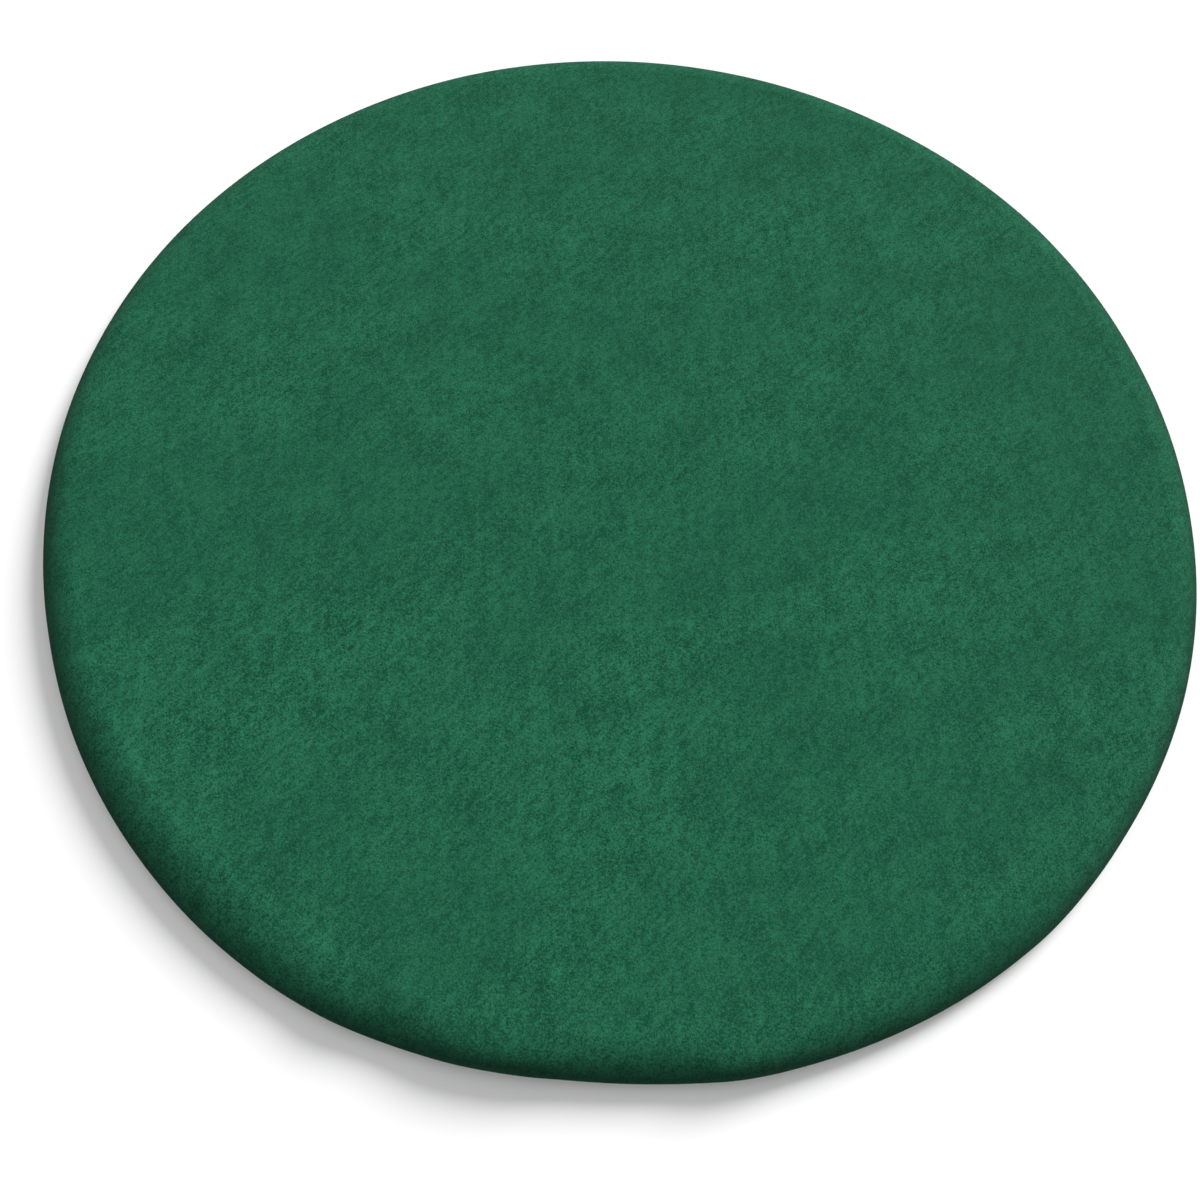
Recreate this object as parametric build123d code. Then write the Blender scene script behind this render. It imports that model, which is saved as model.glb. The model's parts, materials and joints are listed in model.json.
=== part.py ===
from build123d import *
import os
from math import acos, cos, degrees, radians, sin

# A round card-table top, 36 inches across, that folds in half with its felt inside.
# Millimetres, +Z up. The origin is the centre of the plane that its feet rest on.
# The seam between the halves runs along Y at x = 0. The left half (x < 0) stays down and
# the right half folds up and over it. Front is -Y and rear is +Y.

# The board: two half-round plywood panels with a solid-wood lipping bent round the edge.
BOARD_RADIUS = 457.0
BOARD_THICK = 18.0
LIPPING_WIDTH = 32.0
LIPPING_FALL_REACH = 28.0
LIPPING_FALL_RADIUS = 32.5
LIPPING_LOW_ROUND = 1.5
FOOT_HEIGHT = 10.0
BOARD_LOW = FOOT_HEIGHT
BOARD_TOP = FOOT_HEIGHT + BOARD_THICK

# The seam: each half stops short of the centre line, with its top edge eased so that the
# two edges pass each other while they fold.
SEAM_GAP = 0.6
SEAM_CHAMFER = 2.2

# The fitted felt cover: a disc, a side wall and a hem tucked under with elastic in its channel.
FELT_THICK = 1.5
HEM_INNER_RADIUS = 402.0
ELASTIC_INNER_RADIUS = 403.5
ELASTIC_WIDTH = 7.0
ELASTIC_THICK = 2.5
COVER_EDGE = 5.0

# The hinges are let into the top faces under the felt. Each has two pivots, joined by a
# link, so the halves close felt to felt with a small gap.
HINGE_PLACES = {"front": -330.0, "middle": 0.0, "rear": 330.0}
PIVOT_X = 5.8
PIVOT_DEPTH = 4.0
PIVOT_Z = BOARD_TOP - PIVOT_DEPTH
KNUCKLE_RADIUS = 3.0
PIN_RADIUS = 1.5
LINK_RADIUS = 2.9
LINK_BORE_RADIUS = 1.7
LINK_HALF_WIDTH = 11.8
LINK_SLOT_HALF_WIDTH = 12.1
LEAF_HALF_WIDTH = 30.0
LEAF_REACH = 40.0
LEAF_THICK = 2.5
POCKET_REACH = 9.2
POCKET_LOW = PIVOT_Z - 3.5
LEAF_SCREW_X = (17.0, 32.0)
LEAF_SCREW_Y = 20.0

# The slide bolts under the seam hold the top flat.
BOLT_PLACES = {"front": -165.0, "rear": 165.0}
BOLT_Z = 4.8
BOLT_RADIUS = 2.6
BOLT_TIP_X = -3.0
BOLT_BACK_X = -82.0
GUIDE_BORE_RADIUS = 2.9
PLATE_THICK = 2.0
PLATE_HALF_WIDTH = 14.0
GUIDE_LOW = 0.8
PLATE_RANGE = (-62.0, -6.0)
GUIDE_RANGES = ((-17.0, -9.0), (-58.0, -50.0))
PLATE_SCREW_X = (-24.0, -43.0)
PLATE_SCREW_Y = 9.6
KEEPER_RANGE = (8.0, 18.0)
KEEPER_HALF_OPENING = 3.4
KEEPER_HALF_WIDTH = 17.0
KEEPER_THICK = 1.6
KEEPER_BRIDGE = (0.6, 1.7)
KEEPER_SCREW_Y = 11.0
KNOB_X = -44.0
KNOB_ARM_RADIUS = 1.6
KNOB_RADIUS = 3.4
KNOB_REACH = 24.0

# Wood screws and rubber feet.
SCREW_HEAD_RADIUS = 3.8
SCREW_HEAD_HEIGHT = 2.1
SCREW_RADIUS = 1.75
LEAF_SCREW_LENGTH = 14.0
PLATE_SCREW_LENGTH = 12.0
FOOT_RADIUS = 11.0
FOOT_TAPER = 1.5
FOOT_BORE_RADIUS = 4.6
FOOT_BORE_DEPTH = 4.0
FOOT_SCREW_HEAD_RADIUS = 3.8
FOOT_SCREW_HEAD_HEIGHT = 2.0
FOOT_SCREW_REACH = 12.0
FOOT_RING_RADIUS = 375.0
FOOT_ANGLES = (-75.0, -30.0, 30.0, 75.0)
INNER_FOOT_X = 110.0

FAR = 1000.0
LOW_END = (Align.CENTER, Align.CENTER, Align.MIN)


def block(x_range, y_range, z_range):
    """A box between three pairs of limits."""
    size = [high - low for low, high in (x_range, y_range, z_range)]
    middle = [(high + low) / 2 for low, high in (x_range, y_range, z_range)]
    return Pos(*middle) * Box(*size)


def disc(radius, z_low, z_high):
    """An upright cylinder about Z."""
    return Pos(0, 0, z_low) * Cylinder(radius, z_high - z_low, align=LOW_END)


def rod_along_y(radius, x, z, y_range):
    """A round bar along Y."""
    middle = (y_range[0] + y_range[1]) / 2
    return Pos(x, middle, z) * Rot(90, 0, 0) * Cylinder(radius, y_range[1] - y_range[0])


def rod_along_x(radius, y, z, x_range):
    """A round bar along X."""
    middle = (x_range[0] + x_range[1]) / 2
    return Pos(middle, y, z) * Rot(0, 90, 0) * Cylinder(radius, x_range[1] - x_range[0])


def on_side(shape, side):
    """Shapes are drawn for the right half. The left half is their mirror image."""
    return shape if side == "right" else mirror(shape, about=Plane.YZ)


def write(node, shape):
    """One STEP file for one node, whether it is one solid or a set of fasteners."""
    solids = shape.solids()
    body = solids[0] if len(solids) == 1 else Compound(children=list(solids))
    export_step(body, f"parts/{node}.step")


def beyond_seam():
    """Everything left of the right half's seam face and its eased top edge."""
    outline = [
        (-FAR, -FAR),
        (SEAM_GAP, -FAR),
        (SEAM_GAP, BOARD_TOP - SEAM_CHAMFER),
        (SEAM_GAP + SEAM_CHAMFER, BOARD_TOP),
        (SEAM_GAP + SEAM_CHAMFER, FAR),
        (-FAR, FAR),
    ]
    return extrude(Plane.XZ * make_face(Polyline(*outline, close=True)), FAR, both=True)


def eased_disc(radius, z_low, z_high, fall_reach, fall_radius, low_round):
    """A disc whose top falls away in an arc over its last stretch, with the low rim rounded."""
    fall_start = radius - fall_reach
    arc_middle = z_high - fall_radius
    edge_angle = degrees(acos(fall_reach / fall_radius))
    edge_z = arc_middle + fall_radius * sin(radians(edge_angle))
    outline = [
        Line((0, z_low), (radius - low_round, z_low)),
        CenterArc((radius - low_round, z_low + low_round), low_round, -90, 90),
        Line((radius, z_low + low_round), (radius, edge_z)),
        CenterArc((fall_start, arc_middle), fall_radius, edge_angle, 90 - edge_angle),
        Line((fall_start, z_high), (0, z_high)),
        Line((0, z_high), (0, z_low)),
    ]
    return revolve(Plane.XZ * make_face(outline), Axis.Z)


def leaf_plate(hinge_y):
    """The flat of a hinge leaf, without its eyes and holes."""
    plate = block(
        (PIVOT_X, LEAF_REACH),
        (hinge_y - LEAF_HALF_WIDTH, hinge_y + LEAF_HALF_WIDTH),
        (BOARD_TOP - LEAF_THICK, BOARD_TOP),
    )
    corners = plate.edges().filter_by(Axis.Z).group_by(Axis.X)[-1]
    return fillet(corners, 4.0)


def screw_blank(length):
    """A countersunk screw pointing down from z = 0, without its recess."""
    head = Pos(0, 0, -SCREW_HEAD_HEIGHT) * Cone(
        SCREW_RADIUS, SCREW_HEAD_RADIUS, SCREW_HEAD_HEIGHT, align=LOW_END
    )
    shank = Pos(0, 0, -length) * Cylinder(SCREW_RADIUS, length - SCREW_HEAD_HEIGHT, align=LOW_END)
    return head + shank


def cross_recess(size):
    """A crosshead recess, cut down from z = 0."""
    arms = block((-size, size), (-0.55, 0.55), (-1.3, 0.5))
    return arms + block((-0.55, 0.55), (-size, size), (-1.3, 0.5))


def leaf_screw_places(hinge_y):
    """Where one leaf's screws go in, on the right half."""
    return [Pos(x, hinge_y + y, BOARD_TOP) for x in LEAF_SCREW_X for y in (-LEAF_SCREW_Y, LEAF_SCREW_Y)]


def plate_screw_places(bolt_y):
    """Where one bolt plate's screws go in, from below."""
    low = BOARD_LOW - PLATE_THICK
    return [
        Pos(x, bolt_y + y, low) * Rot(180, 0, 0)
        for x in PLATE_SCREW_X
        for y in (-PLATE_SCREW_Y, PLATE_SCREW_Y)
    ]


def keeper_screw_places(bolt_y):
    """Where one keeper's screws go in, from below."""
    middle = sum(KEEPER_RANGE) / 2
    low = BOARD_LOW - PLATE_THICK
    return [
        Pos(middle, bolt_y + y, low) * Rot(180, 0, 0) for y in (-KEEPER_SCREW_Y, KEEPER_SCREW_Y)
    ]


def foot_places():
    """The feet under the right half: four round the edge and one near the middle."""
    ring = [
        Pos(FOOT_RING_RADIUS * cos(radians(a)), FOOT_RING_RADIUS * sin(radians(a)), 0)
        for a in FOOT_ANGLES
    ]
    return ring + [Pos(INNER_FOOT_X, 0, 0)]


def foot_screw_blank():
    """A pan-head screw pointing up through a foot into the board."""
    head_z = FOOT_BORE_DEPTH - FOOT_SCREW_HEAD_HEIGHT
    head = Pos(0, 0, head_z) * Cylinder(FOOT_SCREW_HEAD_RADIUS, FOOT_SCREW_HEAD_HEIGHT, align=LOW_END)
    shank_length = BOARD_LOW + FOOT_SCREW_REACH - FOOT_BORE_DEPTH
    return head + Pos(0, 0, FOOT_BORE_DEPTH) * Cylinder(SCREW_RADIUS, shank_length, align=LOW_END)


def hinge_pockets():
    """The room cut in the right half for three hinges and their screws."""
    cuts = []
    for hinge_y in HINGE_PLACES.values():
        cuts.append(leaf_plate(hinge_y))
        reach = LEAF_HALF_WIDTH + 0.3
        cuts.append(
            block((-1.0, POCKET_REACH), (hinge_y - reach, hinge_y + reach), (POCKET_LOW, BOARD_TOP + 1.0))
        )
        cuts += [place * screw_blank(LEAF_SCREW_LENGTH) for place in leaf_screw_places(hinge_y)]
    return cuts


def underside_holes(side):
    """The screw holes in the underside of one half, drawn as on that half."""
    places = [place * foot_screw_blank() for place in foot_places()]
    holes = [on_side(shape, side) for shape in places]
    for bolt_y in BOLT_PLACES.values():
        if side == "left":
            holes += [place * screw_blank(PLATE_SCREW_LENGTH) for place in plate_screw_places(bolt_y)]
        else:
            holes += [place * screw_blank(PLATE_SCREW_LENGTH) for place in keeper_screw_places(bolt_y)]
    return holes


def board(side):
    """A half-round plywood panel with its hinge pockets and screw holes."""
    panel = disc(BOARD_RADIUS - LIPPING_WIDTH, BOARD_LOW, BOARD_TOP) - beyond_seam()
    for cut in hinge_pockets():
        panel -= cut
    panel = on_side(panel, side)
    for hole in underside_holes(side):
        panel -= hole
    return panel


def bare_top():
    """The whole top without its felt: what the boards and their lipping fill."""
    return eased_disc(
        BOARD_RADIUS, BOARD_LOW, BOARD_TOP, LIPPING_FALL_REACH, LIPPING_FALL_RADIUS, LIPPING_LOW_ROUND
    )


def lipping(side):
    """The solid-wood strip bent round the curved edge of one panel."""
    rim = bare_top() - beyond_seam()
    rim -= disc(BOARD_RADIUS - LIPPING_WIDTH, BOARD_LOW - 1, BOARD_TOP + 1)
    return on_side(rim, side)


def elastic_ring():
    """The flat elastic inside the hem, all the way round."""
    low = BOARD_LOW - FELT_THICK - ELASTIC_THICK
    ring = disc(ELASTIC_INNER_RADIUS + ELASTIC_WIDTH, low, low + ELASTIC_THICK)
    return ring - disc(ELASTIC_INNER_RADIUS, low - 1, low + ELASTIC_THICK + 1)


def cover_limit():
    """What is left out of the right half's cover: the strip that folds and the link windows."""
    cuts = [block((-FAR, COVER_EDGE), (-FAR, FAR), (-FAR, FAR))]
    for hinge_y in HINGE_PLACES.values():
        reach = LINK_SLOT_HALF_WIDTH + 0.4
        cuts.append(block((-FAR, POCKET_REACH), (hinge_y - reach, hinge_y + reach), (BOARD_TOP - 1, FAR)))
    return cuts


def felt_cover(side):
    """The felt over one half: top, side wall, tucked hem and elastic channel."""
    felt = eased_disc(
        BOARD_RADIUS + FELT_THICK,
        BOARD_LOW - FELT_THICK,
        BOARD_TOP + FELT_THICK,
        LIPPING_FALL_REACH + FELT_THICK,
        LIPPING_FALL_RADIUS + FELT_THICK,
        LIPPING_LOW_ROUND + FELT_THICK,
    )
    felt -= bare_top()
    channel_low = BOARD_LOW - 2 * FELT_THICK - ELASTIC_THICK
    channel_radius = ELASTIC_INNER_RADIUS + ELASTIC_WIDTH + FELT_THICK
    felt += disc(channel_radius, channel_low, BOARD_LOW - FELT_THICK)
    felt -= disc(HEM_INNER_RADIUS, channel_low - 1, BOARD_LOW)
    felt -= elastic_ring()
    for cut in cover_limit():
        felt -= cut
    return on_side(felt, side)


def hem_elastic(side):
    """One half of the elastic, cut where the cover's halves stop."""
    ring = elastic_ring() - block((-FAR, COVER_EDGE), (-FAR, FAR), (-FAR, FAR))
    return on_side(ring, side)


def hinge_leaf(hinge_y, side):
    """A flush leaf with two eyes that the pin goes through."""
    leaf = leaf_plate(hinge_y)
    slot = (hinge_y - LINK_SLOT_HALF_WIDTH, hinge_y + LINK_SLOT_HALF_WIDTH)
    leaf -= block((0, POCKET_REACH), slot, (BOARD_TOP - LEAF_THICK - 1, BOARD_TOP + 1))
    for y_range in ((hinge_y - LEAF_HALF_WIDTH, slot[0]), (slot[1], hinge_y + LEAF_HALF_WIDTH)):
        leaf += rod_along_y(KNUCKLE_RADIUS, PIVOT_X, PIVOT_Z, y_range)
    leaf -= rod_along_y(PIN_RADIUS, PIVOT_X, PIVOT_Z, (hinge_y - FAR, hinge_y + FAR))
    for place in leaf_screw_places(hinge_y):
        leaf -= place * screw_blank(LEAF_SCREW_LENGTH)
    return on_side(leaf, side)


def hinge_link(hinge_y):
    """The bar that joins the two pivots of one hinge."""
    outline = Plane.XZ * SlotCenterToCenter(2 * PIVOT_X, 2 * LINK_RADIUS)
    link = Pos(0, hinge_y, PIVOT_Z) * extrude(outline, LINK_HALF_WIDTH, both=True)
    for x in (-PIVOT_X, PIVOT_X):
        link -= rod_along_y(LINK_BORE_RADIUS, x, PIVOT_Z, (hinge_y - FAR, hinge_y + FAR))
    return link


def hinge_pins(side):
    """Three pins, one in each leaf of this half."""
    reach = LEAF_HALF_WIDTH - 0.5
    pins = [
        rod_along_y(PIN_RADIUS, PIVOT_X, PIVOT_Z, (y - reach, y + reach)) for y in HINGE_PLACES.values()
    ]
    return on_side(Compound(children=pins), side)


def hinge_screws(side):
    """The crosshead screws that hold three leaves."""
    screw = screw_blank(LEAF_SCREW_LENGTH) - cross_recess(2.2)
    screws = [place * screw for y in HINGE_PLACES.values() for place in leaf_screw_places(y)]
    return on_side(Compound(children=screws), side)


def bolt_plate(bolt_y):
    """A slide bolt's base plate with its two guide loops."""
    low = BOARD_LOW - PLATE_THICK
    plate = block(PLATE_RANGE, (bolt_y - PLATE_HALF_WIDTH, bolt_y + PLATE_HALF_WIDTH), (low, BOARD_LOW))
    plate = fillet(plate.edges().filter_by(Axis.Z), 3.0)
    for x_range in GUIDE_RANGES:
        guide = block(x_range, (bolt_y - 6.0, bolt_y + 6.0), (GUIDE_LOW, low + 0.5))
        plate += fillet(guide.edges().filter_by(Axis.X).group_by(Axis.Z)[0], 3.5)
    plate -= rod_along_x(GUIDE_BORE_RADIUS, bolt_y, BOLT_Z, PLATE_RANGE)
    for place in plate_screw_places(bolt_y):
        plate -= place * screw_blank(PLATE_SCREW_LENGTH)
    return plate


def knob_blank(bolt_y, outward):
    """The knob's stem and its turned head, pointing away from the middle of the top."""
    end = KNOB_REACH * outward
    stem_range = sorted((bolt_y, bolt_y + end))
    head_range = sorted((bolt_y + end - 8.0 * outward, bolt_y + end))
    head = rod_along_y(KNOB_RADIUS, KNOB_X, BOLT_Z, head_range)
    head = fillet(head.edges().filter_by(GeomType.CIRCLE), 1.2)
    return rod_along_y(KNOB_ARM_RADIUS, KNOB_X, BOLT_Z, stem_range) + head


def bolt_rod(bolt_y, outward):
    """The sliding rod, drawn back, with the knob's hole across it."""
    rod = rod_along_x(BOLT_RADIUS, bolt_y, BOLT_Z, (BOLT_BACK_X, BOLT_TIP_X))
    rod = chamfer(rod.edges().filter_by(GeomType.CIRCLE), 0.8)
    return rod - knob_blank(bolt_y, outward)


def bolt_keeper(bolt_y):
    """The bent strap on the right half that the rod slides into."""
    inner = KEEPER_HALF_OPENING
    outer = KEEPER_HALF_OPENING + KEEPER_THICK
    wide = block(KEEPER_RANGE, (-KEEPER_HALF_WIDTH, KEEPER_HALF_WIDTH), (BOARD_LOW - PLATE_THICK, BOARD_LOW))
    keeper = fillet(wide.edges().filter_by(Axis.Z), 2.5)
    keeper += block(KEEPER_RANGE, (-outer, outer), (KEEPER_BRIDGE[0], BOARD_LOW))
    keeper -= block(KEEPER_RANGE, (-inner, inner), (KEEPER_BRIDGE[1], BOARD_LOW))
    keeper = Pos(0, bolt_y, 0) * keeper
    for place in keeper_screw_places(bolt_y):
        keeper -= place * screw_blank(PLATE_SCREW_LENGTH)
    return keeper


def plate_screws(places_at):
    """The screws that hold both plates of one kind."""
    screw = screw_blank(PLATE_SCREW_LENGTH) - cross_recess(2.2)
    return Compound(children=[place * screw for y in BOLT_PLACES.values() for place in places_at(y)])


def feet(side):
    """Five tapered rubber feet, each bored for its screw."""
    foot = Cone(FOOT_RADIUS - FOOT_TAPER, FOOT_RADIUS, FOOT_HEIGHT, align=LOW_END)
    foot = fillet(foot.edges().filter_by(GeomType.CIRCLE).sort_by(Axis.Z)[0], 1.5)
    foot -= disc(FOOT_BORE_RADIUS, -1.0, FOOT_BORE_DEPTH)
    foot -= disc(SCREW_RADIUS, -1.0, FOOT_HEIGHT + 1)
    return on_side(Compound(children=[place * foot for place in foot_places()]), side)


def foot_screws(side):
    """One pan-head screw up through each foot."""
    head_z = FOOT_BORE_DEPTH - FOOT_SCREW_HEAD_HEIGHT
    recess = Pos(0, 0, head_z) * Rot(180, 0, 0) * cross_recess(2.0)
    screw = foot_screw_blank() - recess
    return on_side(Compound(children=[place * screw for place in foot_places()]), side)


def main():
    os.makedirs("parts", exist_ok=True)
    for side in ("left", "right"):
        write(f"{side}_board", board(side))
        write(f"{side}_edge_lipping", lipping(side))
        write(f"{side}_felt_cover", felt_cover(side))
        write(f"{side}_hem_elastic", hem_elastic(side))
        write(f"{side}_hinge_pins", hinge_pins(side))
        write(f"{side}_hinge_screws", hinge_screws(side))
        write(f"{side}_feet", feet(side))
        write(f"{side}_foot_screws", foot_screws(side))
        for place, hinge_y in HINGE_PLACES.items():
            write(f"{place}_{side}_hinge_leaf", hinge_leaf(hinge_y, side))
    for place, hinge_y in HINGE_PLACES.items():
        write(f"{place}_hinge_link", hinge_link(hinge_y))
    for place, bolt_y in BOLT_PLACES.items():
        outward = 1.0 if bolt_y > 0 else -1.0
        write(f"{place}_bolt_plate", bolt_plate(bolt_y))
        write(f"{place}_bolt_rod", bolt_rod(bolt_y, outward))
        write(f"{place}_bolt_knob", knob_blank(bolt_y, outward))
        write(f"{place}_bolt_keeper", bolt_keeper(bolt_y))
    write("bolt_plate_screws", plate_screws(plate_screw_places))
    write("bolt_keeper_screws", plate_screws(keeper_screw_places))


main()
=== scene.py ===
import json
import math

import bmesh
import bpy
import numpy as np
from mathutils import Matrix, Vector

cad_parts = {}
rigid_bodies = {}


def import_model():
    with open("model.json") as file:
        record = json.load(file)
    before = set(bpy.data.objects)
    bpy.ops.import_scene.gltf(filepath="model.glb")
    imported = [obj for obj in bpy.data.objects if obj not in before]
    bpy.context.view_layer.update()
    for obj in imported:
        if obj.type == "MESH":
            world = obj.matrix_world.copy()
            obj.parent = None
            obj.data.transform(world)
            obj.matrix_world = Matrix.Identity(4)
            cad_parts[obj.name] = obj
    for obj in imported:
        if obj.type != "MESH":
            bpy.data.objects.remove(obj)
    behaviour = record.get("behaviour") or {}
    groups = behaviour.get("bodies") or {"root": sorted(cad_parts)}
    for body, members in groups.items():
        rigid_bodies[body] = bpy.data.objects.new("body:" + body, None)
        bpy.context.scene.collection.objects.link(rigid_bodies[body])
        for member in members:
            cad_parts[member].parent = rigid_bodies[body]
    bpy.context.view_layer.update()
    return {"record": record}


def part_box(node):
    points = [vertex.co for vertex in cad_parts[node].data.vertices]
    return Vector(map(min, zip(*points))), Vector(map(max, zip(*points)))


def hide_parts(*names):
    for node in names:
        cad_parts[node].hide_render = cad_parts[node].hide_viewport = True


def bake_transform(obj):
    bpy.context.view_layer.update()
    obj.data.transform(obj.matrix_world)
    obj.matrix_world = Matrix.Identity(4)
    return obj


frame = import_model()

# ---------------------------------------------------------------- sizes, in metres
MM = 0.001
FELT_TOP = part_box("left_felt_cover")[1][2]

# The felt's outer face, followed from the middle of the top to the hem under the board: an arc
# over the rim, a small arc at its foot, and flat to the hem. Centres are (out from the axis, up).
ROLL_CENTRE = (429 * MM, -4.5 * MM)
ROLL_RADIUS = 34.0 * MM
ROLL_TURN = math.radians(58.87)
LOW_CENTRE = (455.5 * MM, 11.5 * MM)
LOW_RADIUS = 3.0 * MM
CHANNEL_OUTER = 412.0 * MM
HEM_INNER = 401.5 * MM
UNDERSIDE = LOW_CENTRE[1] - LOW_RADIUS

# The rings of the flat top: the first one, and where the wide spacing ends and the close one
# starts, measured in from the roll. Then how many rings each stretch of the path has.
FIRST_RING = 0.006
WIDE_END = 0.030
CLOSE_START = 0.026
WIDE_RINGS, CLOSE_RINGS, ROLL_RINGS, LOW_RINGS, UNDER_RINGS = 62, 9, 18, 10, 29

# Angular steps round the cover: (steps, out to this radius on the flat top). They are coarse
# over the middle. Past the top, every ring has the last count.
SEGMENTS = ((90, 0.05), (180, 0.12), (360, 0.25), (720, 0.425), (1440, 9.0))

# How far the cloth stands off what is under it: on the flat top, from some radius out, and
# past the roll, where it also has a looseness that varies round the top.
TOP_EASE = 0.02 * MM
TOP_EASE_START = 0.405
HEM_CLEARANCE = 0.25 * MM
LOOSENESS = 0.35 * MM

# The elastic's channel in the hem: its height, the power that rounds it, and the share of the
# lift that is left where it closes at the hem's edge.
CHANNEL_HEIGHT = 3.1 * MM
CHANNEL_ROUND = 0.6
CHANNEL_MOUTH = 0.35

# The gathers of the hem: how many, what brings a wander to about 1 at most, their depth in
# millimetres at the rim, and what it gains on the way in.
GATHERS = 172
WANDER_SPAN = 1.9
GATHER_DEPTH = 0.2
GATHER_GAIN = 2.1

# The light: the surround's strength at the horizon and overhead, the pale backdrop that is
# seen behind the object, and the key.
BACKDROP_LIGHT = 0.92
HORIZON_LIGHT = 0.03
OVERHEAD_LIGHT = 1.10
KEY_LIGHT = 3.95
KEY_AZIMUTH = 54.0
KEY_HEIGHT = 31.0
KEY_WIDTH = 24.0
FLOOR_REACH = 12.0

# The camera: angles in degrees, the point on the felt it aims at, and how far off it stands.
CAMERA_ELEVATION = 65.75
CAMERA_ROLL = 5.48
CAMERA_AIM = (-0.0133, -0.1273)
CAMERA_DISTANCE = 0.8357
CAMERA_LENS = 33.33

# Where the strip over the seam is cut into fine strips, measured out from the seam.
SEAM_CUTS = (1.45 * MM, 2.9 * MM, 4.35 * MM, 5.8 * MM, 8.0 * MM)
TOUCHING = 0.002 * MM

# The running stitch along the hem: its count, how far outside the elastic's channel it runs,
# half of a stitch's length, how far it hangs clear, the thread's radius in millimetres at each
# section, and its sides.
STITCHES = 620
STITCH_INSET = 1.0 * MM
STITCH_REACH = 1.25 * MM
STITCH_DROP = 0.12 * MM
STITCH_PLACES = (-1.0, -0.5, 0.5, 1.0)
STITCH_SIZES = (0.10, 0.34, 0.34, 0.10)
STITCH_SIDES = 6

# How far the slack cloth stands out from the rim, in millimetres, by the direction round the
# top in degrees. Zero is +X, and 270 is the side nearest the camera.
SLACK = (
    (0, 0.0), (20, 0.0), (40, 3.0), (60, 0.0), (90, 0.0), (120, 0.0), (150, 0.0), (180, 0.0),
    (195, 0.2), (205, 1.2), (215, 4.0), (225, 6.2), (235, 8.2), (245, 8.7), (252, 7.0),
    (258, 4.6), (264, 1.6), (270, 0.0), (276, 0.3), (282, 2.0), (290, 3.0), (298, 3.4),
    (306, 3.8), (314, 3.4), (325, 1.2), (340, 1.5), (360, 0.0),
)

# How proud the slack stands at the shoulder: 0 is cloth that hugs the edge and flares only
# at the bottom, and 1 is cloth that bridges straight out before it drops.
SHOULDER = (
    (0, 0.1), (195, 0.1), (210, 0.0), (247, 0.0), (249.5, 0.8), (252, 0.0), (256, 0.0),
    (260, 0.9), (266, 1.0), (269.5, 0.2), (271, 0.0), (279.5, 0.0), (282, 1.0), (286, 0.9),
    (290, 0.15), (308, 0.0), (312, 0.6), (325, 0.3), (345, 0.1), (360, 0.1),
)
SHOULDER_LIFT = 3.3 * MM
SAG = 0.30

# One light and one dark veneer of the plywood, together.
VENEER_PAIR = 0.0028

# The felt's colours; the last is a painted shade laid where the cloth rolls over the rim.
FELT_DARK = (0.0048, 0.048, 0.024)
FELT_LIGHT = (0.0245, 0.160, 0.086)
FELT_FLECK = (0.060, 0.240, 0.150)
FELT_NAP = (0.0100, 0.082, 0.043)
FELT_PAINTED_SHADE = (0.0022, 0.0085, 0.0052)


# ---------------------------------------------------------------- node helpers
def new_material(name):
    """A material with only a Principled shader, and its node tree."""
    material = bpy.data.materials.new(name)
    material.use_nodes = True
    tree = material.node_tree
    shader = tree.nodes["Principled BSDF"]
    return material, tree, shader


def coordinates(tree, scale=(1, 1, 1), turn=0.0):
    """Object coordinates, turned about Z and stretched."""
    source = tree.nodes.new("ShaderNodeTexCoord")
    mapping = tree.nodes.new("ShaderNodeMapping")
    mapping.vector_type = "TEXTURE"
    mapping.inputs["Rotation"].default_value = (0, 0, math.radians(turn))
    mapping.inputs["Scale"].default_value = [1 / s for s in scale]
    tree.links.new(source.outputs["Object"], mapping.inputs["Vector"])
    return mapping.outputs["Vector"]


def axes(tree, kind):
    """The X, Y and Z outputs of one kind of texture coordinates."""
    source = tree.nodes.new("ShaderNodeTexCoord")
    split = tree.nodes.new("ShaderNodeSeparateXYZ")
    tree.links.new(source.outputs[kind], split.inputs["Vector"])
    return split.outputs


def noise(tree, vector, scale, detail=2.0, roughness=0.5, distortion=0.0):
    """Noise from 0 to 1."""
    node = tree.nodes.new("ShaderNodeTexNoise")
    node.inputs["Scale"].default_value = scale
    node.inputs["Detail"].default_value = detail
    node.inputs["Roughness"].default_value = roughness
    node.inputs["Distortion"].default_value = distortion
    tree.links.new(vector, node.inputs["Vector"])
    return node.outputs["Fac"]


def remap(tree, value, low, high, to_low=0.0, to_high=1.0):
    """A value stretched from one range to another, and held inside it."""
    node = tree.nodes.new("ShaderNodeMapRange")
    node.inputs["From Min"].default_value = low
    node.inputs["From Max"].default_value = high
    node.inputs["To Min"].default_value = to_low
    node.inputs["To Max"].default_value = to_high
    tree.links.new(value, node.inputs["Value"])
    return node.outputs["Result"]


def combine(tree, kind, a, b=0.0):
    """Arithmetic on one or two values, each an output or a number."""
    node = tree.nodes.new("ShaderNodeMath")
    node.operation = kind
    for socket, value in zip(node.inputs, (a, b)):
        if isinstance(value, (int, float)):
            socket.default_value = value
        else:
            tree.links.new(value, socket)
    return node.outputs["Value"]


def add_shares(tree, a, share_a, b, share_b):
    """Two values added together in given shares."""
    part_a = combine(tree, "MULTIPLY", a, share_a)
    part_b = combine(tree, "MULTIPLY", b, share_b)
    return combine(tree, "ADD", part_a, part_b)


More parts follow.
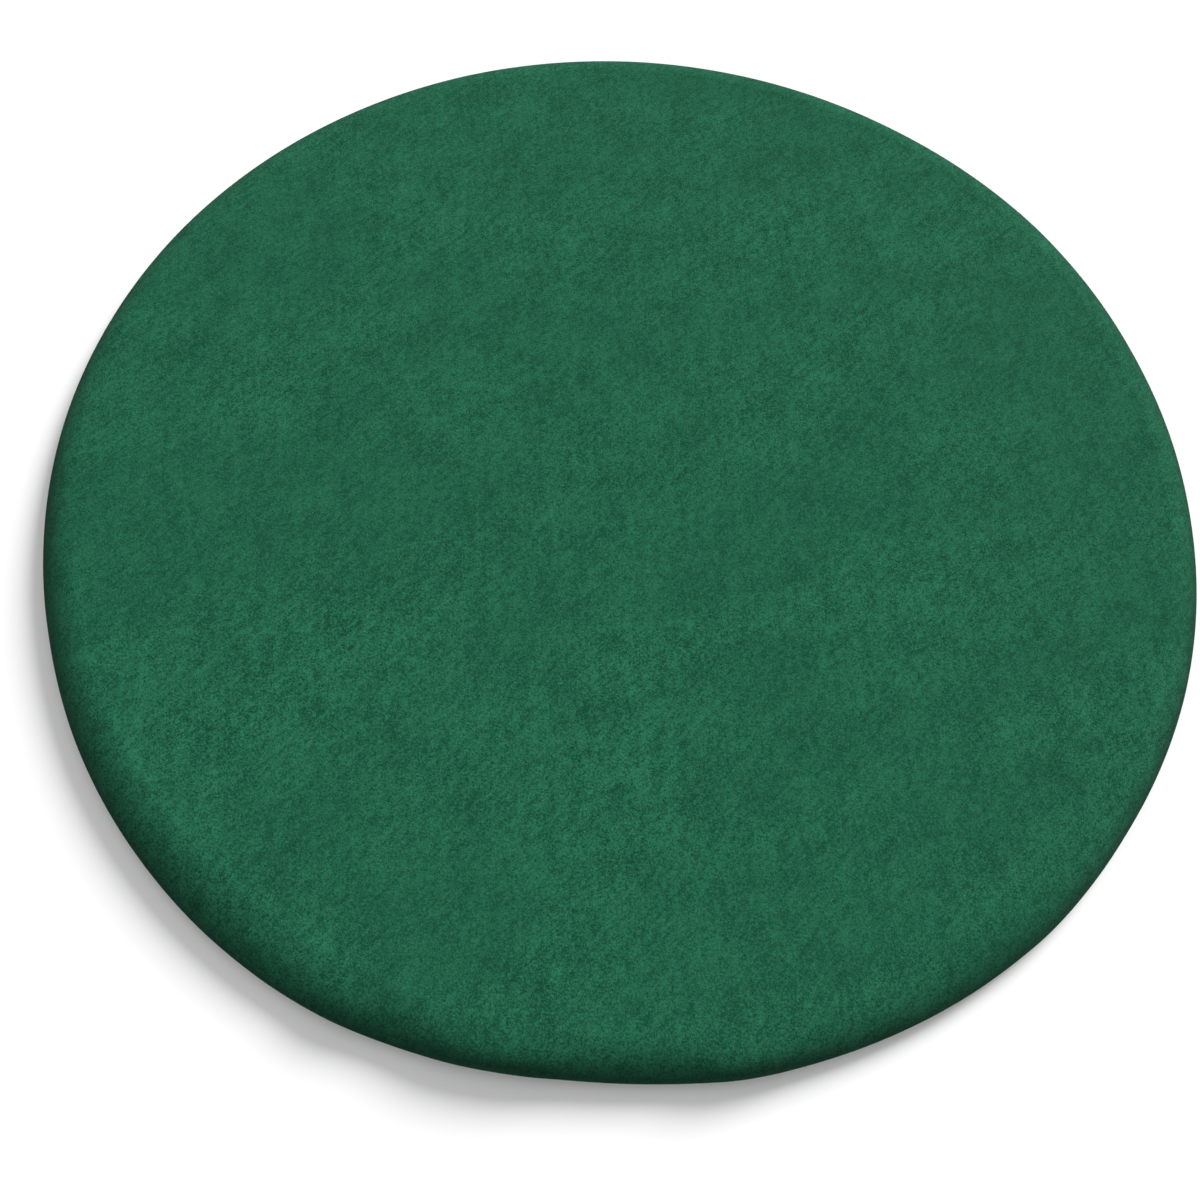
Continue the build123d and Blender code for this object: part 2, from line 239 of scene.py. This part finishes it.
def mix_colour(tree, factor, a, b):
    """A blend of two colours, each an output or a fixed colour."""
    node = tree.nodes.new("ShaderNodeMix")
    node.data_type = "RGBA"
    sockets = [s for s in node.inputs if s.type == "RGBA"]
    for socket, value in zip(sockets, (a, b)):
        if isinstance(value, tuple):
            socket.default_value = (*value, 1.0)
        else:
            tree.links.new(value, socket)
    tree.links.new(factor, node.inputs["Factor"])
    return [s for s in node.outputs if s.type == "RGBA"][0]


def bump(tree, shader, height, strength, distance):
    """A height from 0 to 1, some distance deep in metres, given to the shader's normal."""
    node = tree.nodes.new("ShaderNodeBump")
    node.inputs["Strength"].default_value = strength
    node.inputs["Distance"].default_value = distance
    tree.links.new(height, node.inputs["Height"])
    tree.links.new(node.outputs["Normal"], shader.inputs["Normal"])


# ---------------------------------------------------------------- materials
def felt_material():
    """Brushed wool-blend felt: matted fibres, brushing streaks, broad nap marks, and a painted
    shade where it rolls over the rim.
    """
    material, tree, shader = new_material("green_felt")
    even = coordinates(tree)
    fibres = noise(tree, even, 740.0, detail=4.0, roughness=0.72, distortion=0.8)
    tufts = noise(tree, even, 210.0, detail=3.0, roughness=0.6, distortion=0.5)
    brush_streaks = coordinates(tree, (300, 60, 80), turn=-38.0)
    brushed = noise(tree, brush_streaks, 1.0, detail=4.0, roughness=0.65)
    cross_streaks = coordinates(tree, (170, 30, 40), turn=12.0)
    crossed = noise(tree, cross_streaks, 1.0, detail=3.0, roughness=0.6)
    cloudy = noise(tree, even, 26.0, detail=3.0, roughness=0.55)
    nap_marks = coordinates(tree, (4.5, 9.0, 4.5), turn=28.0)
    nap = noise(tree, nap_marks, 1.0, detail=3.0, roughness=0.5, distortion=0.6)

    # Each layer, the range of it that is used, and its share of the tone.
    layers = (
        (fibres, 0.30, 0.70, 0.54),
        (tufts, 0.25, 0.75, 0.16),
        (brushed, 0.3, 0.7, 0.14),
        (crossed, 0.3, 0.7, 0.08),
        (cloudy, 0.3, 0.7, 0.08),
    )
    tone = 0.0
    for layer, low, high, share in layers:
        part = combine(tree, "MULTIPLY", remap(tree, layer, low, high), share)
        tone = combine(tree, "ADD", part, tone)
    tone = remap(tree, tone, 0.36, 0.64)
    colour = mix_colour(tree, tone, FELT_DARK, FELT_LIGHT)
    specks = noise(tree, even, 900.0, detail=2.0, roughness=0.5)
    colour = mix_colour(tree, remap(tree, specks, 0.66, 0.78, 0.0, 0.5), colour, FELT_FLECK)
    shade = remap(tree, nap, 0.30, 0.62, 0.0, 0.36)
    colour = mix_colour(tree, shade, colour, FELT_NAP)

    # Painted shade: darker where the cloth rolls over the rim and turns from upright, and less so
    # again where it faces down.
    upward = axes(tree, "Normal")["Z"]
    rim_shade_mask = remap(tree, upward, 0.985, 0.60, 0.0, 0.68)
    not_under = remap(tree, upward, -0.85, -0.15, 0.2, 1.0)
    painted_rim_shade = combine(tree, "MULTIPLY", rim_shade_mask, not_under)
    colour = mix_colour(tree, painted_rim_shade, colour, FELT_PAINTED_SHADE)

    tree.links.new(colour, shader.inputs["Base Color"])
    shader.inputs["Roughness"].default_value = 0.95
    shader.inputs["Specular IOR Level"].default_value = 0.04
    shader.inputs["Sheen Weight"].default_value = 0.06
    shader.inputs["Sheen Roughness"].default_value = 0.5
    shader.inputs["Sheen Tint"].default_value = (0.25, 0.62, 0.42, 1.0)
    bump(tree, shader, tone, 0.35, 0.0006)
    return material


def thread_material():
    """Twisted polyester sewing thread, a shade lighter than the felt."""
    material, tree, shader = new_material("hem_thread")
    twist = noise(tree, coordinates(tree, (900, 900, 900)), 1.0, detail=1.0)
    dark, light = (0.015, 0.11, 0.06), (0.05, 0.22, 0.13)
    colour = mix_colour(tree, remap(tree, twist, 0.3, 0.7), dark, light)
    tree.links.new(colour, shader.inputs["Base Color"])
    shader.inputs["Roughness"].default_value = 0.55
    bump(tree, shader, twist, 0.4, 0.0003)
    return material


def elastic_material():
    """Woven elastic braid: fine ribs along the band."""
    material, tree, shader = new_material("braided_elastic")
    ribs = noise(tree, coordinates(tree, (1400, 1400, 500)), 1.0, detail=2.0)
    dark, light = (0.45, 0.44, 0.41), (0.78, 0.77, 0.73)
    colour = mix_colour(tree, remap(tree, ribs, 0.3, 0.7), dark, light)
    tree.links.new(colour, shader.inputs["Base Color"])
    shader.inputs["Roughness"].default_value = 0.85
    bump(tree, shader, ribs, 0.5, 0.0004)
    return material


def plywood_material():
    """Birch plywood: rotary-cut face grain, and glued layers where an edge shows."""
    material, tree, shader = new_material("birch_plywood")
    along_grain = coordinates(tree, (34, 2.6, 34))
    grain = noise(tree, along_grain, 1.0, detail=6.0, roughness=0.55, distortion=1.6)
    pores = noise(tree, coordinates(tree, (900, 60, 900)), 1.0, detail=2.0)
    figure = add_shares(tree, grain, 0.75, pores, 0.25)
    dark, light = (0.33, 0.20, 0.105), (0.56, 0.39, 0.235)
    face = mix_colour(tree, remap(tree, figure, 0.35, 0.65), dark, light)
    layers_up = combine(tree, "MULTIPLY", axes(tree, "Object")["Z"], 1 / VENEER_PAIR)
    dark_layer = remap(tree, combine(tree, "FRACT", layers_up), 0.46, 0.54)
    edge = mix_colour(tree, dark_layer, (0.50, 0.35, 0.21), (0.22, 0.125, 0.06))
    upright = remap(tree, combine(tree, "ABSOLUTE", axes(tree, "Normal")["Z"]), 0.3, 0.7)
    tree.links.new(mix_colour(tree, upright, edge, face), shader.inputs["Base Color"])
    tree.links.new(remap(tree, figure, 0.3, 0.7, 0.62, 0.48), shader.inputs["Roughness"])
    bump(tree, shader, figure, 0.25, 0.0004)
    return material


def lipping_material():
    """Oiled beech lipping, with its grain running round the edge."""
    material, tree, shader = new_material("beech_lipping")
    position = axes(tree, "Object")
    angle = combine(tree, "ARCTAN2", position["Y"], position["X"])
    flat = tree.nodes.new("ShaderNodeCombineXYZ")
    tree.links.new(position["X"], flat.inputs["X"])
    tree.links.new(position["Y"], flat.inputs["Y"])
    length = tree.nodes.new("ShaderNodeVectorMath")
    length.operation = "LENGTH"
    tree.links.new(flat.outputs["Vector"], length.inputs[0])
    along = tree.nodes.new("ShaderNodeCombineXYZ")
    tree.links.new(combine(tree, "MULTIPLY", angle, 4.0), along.inputs["X"])
    across = combine(tree, "MULTIPLY", length.outputs["Value"], 420.0)
    tree.links.new(across, along.inputs["Y"])
    tree.links.new(combine(tree, "MULTIPLY", position["Z"], 420.0), along.inputs["Z"])
    grain = noise(tree, along.outputs["Vector"], 1.0, detail=5.0, roughness=0.6)
    dark, light = (0.20, 0.085, 0.03), (0.42, 0.22, 0.095)
    colour = mix_colour(tree, remap(tree, grain, 0.33, 0.67), dark, light)
    tree.links.new(colour, shader.inputs["Base Color"])
    tree.links.new(remap(tree, grain, 0.3, 0.7, 0.5, 0.36), shader.inputs["Roughness"])
    bump(tree, shader, grain, 0.2, 0.0003)
    return material


def metal_material(name, dark, light, rough, brushed_scale):
    """Brushed metal with a little tarnish."""
    material, tree, shader = new_material(name)
    brushed = noise(tree, coordinates(tree, brushed_scale), 1.0, detail=3.0)
    tarnish = noise(tree, coordinates(tree), 90.0, detail=3.0, roughness=0.6)
    tone = add_shares(tree, brushed, 0.5, tarnish, 0.5)
    colour = mix_colour(tree, remap(tree, tone, 0.35, 0.65), dark, light)
    tree.links.new(colour, shader.inputs["Base Color"])
    shader.inputs["Metallic"].default_value = 1.0
    tree.links.new(remap(tree, tone, 0.3, 0.7, rough + 0.12, rough), shader.inputs["Roughness"])
    bump(tree, shader, brushed, 0.12, 0.0001)
    return material


def rubber_material():
    """Moulded black rubber, slightly dusty."""
    material, tree, shader = new_material("moulded_rubber")
    dust = noise(tree, coordinates(tree), 160.0, detail=4.0, roughness=0.6)
    dark, light = (0.012, 0.012, 0.012), (0.05, 0.05, 0.048)
    colour = mix_colour(tree, remap(tree, dust, 0.4, 0.75), dark, light)
    tree.links.new(colour, shader.inputs["Base Color"])
    tree.links.new(remap(tree, dust, 0.3, 0.7, 0.55, 0.8), shader.inputs["Roughness"])
    bump(tree, shader, dust, 0.15, 0.0003)
    return material


def dress_cad_nodes():
    """Gives every CAD node that stays visible its procedural material."""
    metals = {}
    for slot, name, dark, light, rough, brushed in (
        ("hinge_brass", "hinge_brass", (0.42, 0.27, 0.08), (0.78, 0.57, 0.24), 0.26,
         (40, 1500, 40)),
        ("zinc", "zinc_plate", (0.34, 0.35, 0.36), (0.62, 0.63, 0.65), 0.34, (60, 1200, 60)),
        ("steel", "bright_steel", (0.42, 0.42, 0.43), (0.72, 0.72, 0.72), 0.22, (50, 900, 900)),
    ):
        metals[slot] = metal_material(name, dark, light, rough, brushed)
    by_slot = {
        "plywood": plywood_material(),
        "lipping": lipping_material(),
        "elastic": elastic_material(),
        "rubber": rubber_material(),
        **metals,
    }
    for part in frame["record"]["subparts"]:
        material = by_slot.get(part["material_slot"])
        if material is None:
            continue
        node = bpy.data.objects[part["node"]]
        node.data.materials.clear()
        node.data.materials.append(material)


# ---------------------------------------------------------------- the felt cover
def smooth(t):
    """An S-curve from 0 to 1."""
    t = np.clip(t, 0.0, 1.0)
    return t * t * (3 - 2 * t)


def table_at(table, angle):
    """A table of (degrees, value) read at some angles, averaged over a few degrees."""
    marks, values = zip(*table)
    near = []
    for step in np.linspace(-2.0, 2.0, 7):
        near.append(np.interp((np.degrees(angle) + step) % 360.0, marks, values))
    return np.mean(near, axis=0)


def wander(angle, seed):
    """A slow, repeatable wobble round the circle, from about -1 to 1."""
    rng = np.random.default_rng(seed)
    total = np.zeros_like(angle)
    for turns in (2, 3, 5, 7, 11, 17):
        total += np.sin(turns * angle + rng.uniform(0, 2 * math.pi)) / math.sqrt(turns)
    return total / WANDER_SPAN


def gather_wave(angle):
    """Uneven gathers round the hem, each from 0 to 1, bunched here and spread there."""
    phase = GATHERS * angle + 5.0 * wander(angle, 11) + 1.6 * np.sin(41 * angle + 1.0)
    small = 0.5 + 0.5 * np.sin(phase)
    large = 0.5 + 0.5 * np.sin(0.5 * GATHERS * angle + 3.0 * wander(angle, 5))
    return 0.72 * small + 0.28 * large


def on_arc(centre, radius, turn):
    """The point of an arc at an angle from upright, and the outward normal there."""
    normal = (math.sin(turn), math.cos(turn))
    return (centre[0] + radius * normal[0], centre[1] + radius * normal[1]), normal


def place_under(radius):
    """The place of a ring under the board, from 2 at the rim's foot to 3 at the hem."""
    return 2.0 + (LOW_CENTRE[0] - radius) / (LOW_CENTRE[0] - HEM_INNER)


def path_stations():
    """The cover's rings, each a (point, outward normal, place).

    The place is -1 on the flat top. It rises to 1 over the roll, to 2 round the rim's foot and
    to 3 at the hem.
    """
    rings = []
    flat_end = ROLL_CENTRE[0]
    top = ROLL_CENTRE[1] + ROLL_RADIUS
    wide = np.linspace(FIRST_RING, flat_end - WIDE_END, WIDE_RINGS)
    close = np.linspace(flat_end - CLOSE_START, flat_end, CLOSE_RINGS)
    rings += [((radius, top), (0.0, 1.0), -1.0) for radius in [*wide, *close]]
    for step in range(1, ROLL_RINGS + 1):
        point, normal = on_arc(ROLL_CENTRE, ROLL_RADIUS, ROLL_TURN * step / ROLL_RINGS)
        rings.append((point, normal, step / ROLL_RINGS))
    for step in range(1, LOW_RINGS + 1):
        turn = ROLL_TURN + (math.pi - ROLL_TURN) * step / LOW_RINGS
        point, normal = on_arc(LOW_CENTRE, LOW_RADIUS, turn)
        rings.append((point, normal, 1.0 + step / LOW_RINGS))
    for radius in np.linspace(LOW_CENTRE[0], HEM_INNER, UNDER_RINGS + 1)[1:]:
        rings.append(((radius, UNDERSIDE), (0.0, -1.0), place_under(radius)))
    return rings


def stand_off(point, place, angle):
    """How far a ring stands off the board along its normal, at each angle.

    It has a clearance, the shoulder of the slack, the gathers and the elastic's channel. The
    divisors of `place` say over what stretch of the path each comes in or dies away.
    """
    if place < 0:
        ease = smooth((point[0] - TOP_EASE_START) / (ROLL_CENTRE[0] - TOP_EASE_START))
        return np.full_like(angle, TOP_EASE) * ease
    shoulder = table_at(SHOULDER, angle)
    bulge = math.sin(math.pi * min(place / 1.3, 1.0)) ** 2
    lift = HEM_CLEARANCE + SHOULDER_LIFT * shoulder * bulge
    droop = 1.0 - smooth((place - 1.0) / 1.6)
    lift = lift + LOOSENESS * (1 + wander(angle, 23)) * smooth(place / 1.2) * droop
    if place > 1.0:
        under = smooth((place - 1.0) / 1.9)
        depth = (GATHER_DEPTH + GATHER_GAIN * under) * MM
        lift = lift + depth * under * gather_wave(angle)
    if point[0] < CHANNEL_OUTER and place > 2.0:
        across = (CHANNEL_OUTER - point[0]) / (CHANNEL_OUTER - HEM_INNER)
        lift = lift + CHANNEL_HEIGHT * math.sin(math.pi * across) ** CHANNEL_ROUND
        if across > 0.999:
            lift = lift * CHANNEL_MOUTH
    return lift


def flare(place, angle):
    """How far the slack hangs out from the rim, and how far it sags, at each angle."""
    if place < 0:
        return 0.0, 0.0
    slack = table_at(SLACK, angle) * MM
    shoulder = table_at(SHOULDER, angle)
    over_roll = min(place, 1.0)
    late, early = smooth((over_roll - 0.15) / 0.85), smooth(over_roll / 0.7)
    outward = slack * (late + (early - late) * shoulder) * (1.0 - smooth((place - 1.0) / 1.6))
    sag = SAG * slack * (1.0 - shoulder) * smooth((place - 0.4) / 0.8)
    sag = sag * (1.0 - smooth((place - 1.3) / 0.7))
    return outward, sag


def cover_mesh():
    """One mesh of the whole fitted cover, before it is parted at the seam."""
    rings = path_stations()
    vertices = [(0.0, 0.0, rings[0][0][1])]
    starts, counts = [], []
    for point, normal, place in rings:
        if place < 0:
            count = next(steps for steps, limit in SEGMENTS if point[0] <= limit)
        else:
            count = SEGMENTS[-1][0]
        angle = 2 * math.pi * np.arange(count) / count
        lift = stand_off(point, place, angle)
        outward, sag = flare(place, angle)
        radius = point[0] + normal[0] * lift + outward
        height = point[1] + normal[1] * lift - sag
        starts.append(len(vertices))
        counts.append(count)
        across = np.round(radius * np.cos(angle), 9)
        vertices += list(zip(across, radius * np.sin(angle), height))
    faces = [(0, starts[0] + i, starts[0] + (i + 1) % counts[0]) for i in range(counts[0])]
    for ring in range(len(rings) - 1):
        a, b, n, m = starts[ring], starts[ring + 1], counts[ring], counts[ring + 1]
        for i in range(n):
            j = (i + 1) % n
            if m == n:
                faces.append((a + i, b + i, b + j, a + j))
            else:
                faces.append((a + i, b + 2 * i, b + 2 * i + 1))
                faces.append((a + i, b + 2 * i + 1, a + j))
                faces.append((a + j, b + 2 * i + 1, b + (2 * i + 2) % m))
    mesh = bpy.data.meshes.new("cover")
    mesh.from_pydata([tuple(v) for v in vertices], [], faces)
    mesh.validate()
    return mesh


def part_mesh(mesh, side, name):
    """One side of a mesh, cut at the seam, with fine strips next to it."""
    work = bmesh.new()
    work.from_mesh(mesh)

    def bisect(x, away, clear):
        everything = work.verts[:] + work.edges[:] + work.faces[:]
        bmesh.ops.bisect_plane(
            work, geom=everything, dist=TOUCHING, plane_co=(x, 0, 0), plane_no=(away, 0, 0),
            clear_inner=clear,
        )

    bisect(0, side, True)
    for cut in SEAM_CUTS:
        bisect(side * cut, 1, False)
    bmesh.ops.dissolve_degenerate(work, dist=TOUCHING, edges=work.edges[:])
    bmesh.ops.recalc_face_normals(work, faces=work.faces[:])
    highest = max(work.faces, key=lambda face: face.calc_center_median().z)
    if highest.normal.z < 0:
        bmesh.ops.reverse_faces(work, faces=work.faces[:])
    half = bpy.data.meshes.new(name)
    work.to_mesh(half)
    work.free()
    half.shade_smooth()
    piece = bpy.data.objects.new(name, half)
    bpy.context.collection.objects.link(piece)
    return piece


def hem_stitches():
    """A running stitch just outside the elastic's channel, all the way round."""
    vertices, faces = [], []
    radius = CHANNEL_OUTER + STITCH_INSET
    half_turn = STITCH_REACH / radius
    sides = range(STITCH_SIDES)
    for i in range(STITCHES):
        middle = 2 * math.pi * (i + 0.5) / STITCHES
        angles = middle + half_turn * np.array(STITCH_PLACES)
        lift = stand_off((radius, UNDERSIDE), place_under(radius), angles)
        start = len(vertices)
        for angle, off, size in zip(angles, lift, STITCH_SIZES):
            out = Vector((math.cos(angle), math.sin(angle), 0))
            centre = out * radius + Vector((0, 0, UNDERSIDE - off - STITCH_DROP))
            for turn in sides:
                spin = 2 * math.pi * turn / STITCH_SIDES
                ring = out * math.cos(spin) + Vector((0, 0, 1)) * math.sin(spin)
                vertices.append(centre + ring * size * MM)
        end = len(vertices) - STITCH_SIDES
        for a in range(start, end, STITCH_SIDES):
            b = a + STITCH_SIDES
            for k in sides:
                after = (k + 1) % STITCH_SIDES
                faces.append((a + k, a + after, b + after, b + k))
        faces.append(tuple(start + k for k in reversed(sides)))
        faces.append(tuple(end + k for k in sides))
    mesh = bpy.data.meshes.new("stitches")
    mesh.from_pydata([tuple(v) for v in vertices], [], faces)
    return mesh


def make_cover():
    """The felt cover in two halves that meet at the seam."""
    felt = felt_material()
    thread = thread_material()
    whole = cover_mesh()
    stitches = hem_stitches()
    for name, side in (("left", -1), ("right", 1)):
        cover = part_mesh(whole, side, f"{name}_felt_skin")
        cover.data.materials.append(felt)
        seam = part_mesh(stitches, side, f"{name}_hem_stitching")
        seam.data.materials.append(thread)
        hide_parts(f"{name}_felt_cover")
        for piece in (cover, seam):
            bend(piece, side)


def bend(piece, side):
    """Bakes one half's placement into its mesh, the same for either side."""
    if side < 0:
        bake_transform(piece)
    else:
        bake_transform(piece)


# ---------------------------------------------------------------- floor, light and camera
def make_floor():
    """A plain pale studio floor."""
    material, tree, shader = new_material("studio_floor")
    mottle = noise(tree, coordinates(tree), 3.0, detail=2.0)
    dark, light = (0.87, 0.87, 0.87), (0.89, 0.89, 0.89)
    colour = mix_colour(tree, remap(tree, mottle, 0.3, 0.7), dark, light)
    tree.links.new(colour, shader.inputs["Base Color"])
    shader.inputs["Roughness"].default_value = 0.9
    shader.inputs["Specular IOR Level"].default_value = 0.1
    mesh = bpy.data.meshes.new("studio_floor")
    signs = ((-1, -1), (1, -1), (1, 1), (-1, 1))
    corners = [(x * FLOOR_REACH, y * FLOOR_REACH, 0) for x, y in signs]
    mesh.from_pydata(corners, [], [(0, 1, 2, 3)])
    mesh.materials.append(material)
    floor = bpy.data.objects.new("studio_floor", mesh)
    bpy.context.collection.objects.link(floor)


def make_light():
    """A soft overhead surround, and a broad key from the far right."""
    world = bpy.data.worlds.new("studio")
    bpy.context.scene.world = world
    world.use_nodes = True
    tree = world.node_tree
    upward = axes(tree, "Generated")["Z"]
    height_squared = combine(tree, "POWER", remap(tree, upward, 0.0, 1.0), 2.0)
    overhead = remap(tree, height_squared, 0.0, 1.0, HORIZON_LIGHT, OVERHEAD_LIGHT)
    path = tree.nodes.new("ShaderNodeLightPath")
    backdrop = combine(tree, "MULTIPLY", path.outputs["Is Camera Ray"], BACKDROP_LIGHT)
    strength = combine(tree, "MAXIMUM", overhead, backdrop)
    tree.links.new(strength, tree.nodes["Background"].inputs["Strength"])
    tree.nodes["Background"].inputs["Color"].default_value = (1.0, 1.0, 1.0, 1.0)
    key_data = bpy.data.lights.new("key", "SUN")
    key_data.energy = KEY_LIGHT
    key_data.angle = math.radians(KEY_WIDTH)
    key = bpy.data.objects.new("key", key_data)
    turn, height = math.radians(KEY_AZIMUTH), math.radians(KEY_HEIGHT)
    across = math.cos(height)
    toward = Vector((math.cos(turn) * across, math.sin(turn) * across, math.sin(height)))
    key.rotation_euler = toward.to_track_quat("Z", "Y").to_euler()
    bpy.context.collection.objects.link(key)


def make_camera():
    """The camera stands over the near side, looking down at the top and tilted a little."""
    elevation, roll = math.radians(CAMERA_ELEVATION), math.radians(CAMERA_ROLL)
    aim = Vector((*CAMERA_AIM, FELT_TOP))
    back = Vector((0, -math.cos(elevation), math.sin(elevation)))
    right = Vector((1, 0, 0))
    up = back.cross(right)
    tilted_right = right * math.cos(roll) + up * math.sin(roll)
    tilted_up = up * math.cos(roll) - right * math.sin(roll)
    data = bpy.data.cameras.new("camera")
    data.sensor_width = 36.0
    data.lens = CAMERA_LENS
    data.clip_end = 50.0
    camera = bpy.data.objects.new("camera", data)
    rotation = Matrix((tilted_right, tilted_up, back)).transposed().to_4x4()
    camera.matrix_world = Matrix.Translation(aim + back * CAMERA_DISTANCE) @ rotation
    bpy.context.collection.objects.link(camera)
    bpy.context.scene.camera = camera


make_floor()
make_light()
make_camera()
dress_cad_nodes()
make_cover()
bpy.context.scene.view_settings.view_transform = "Standard"
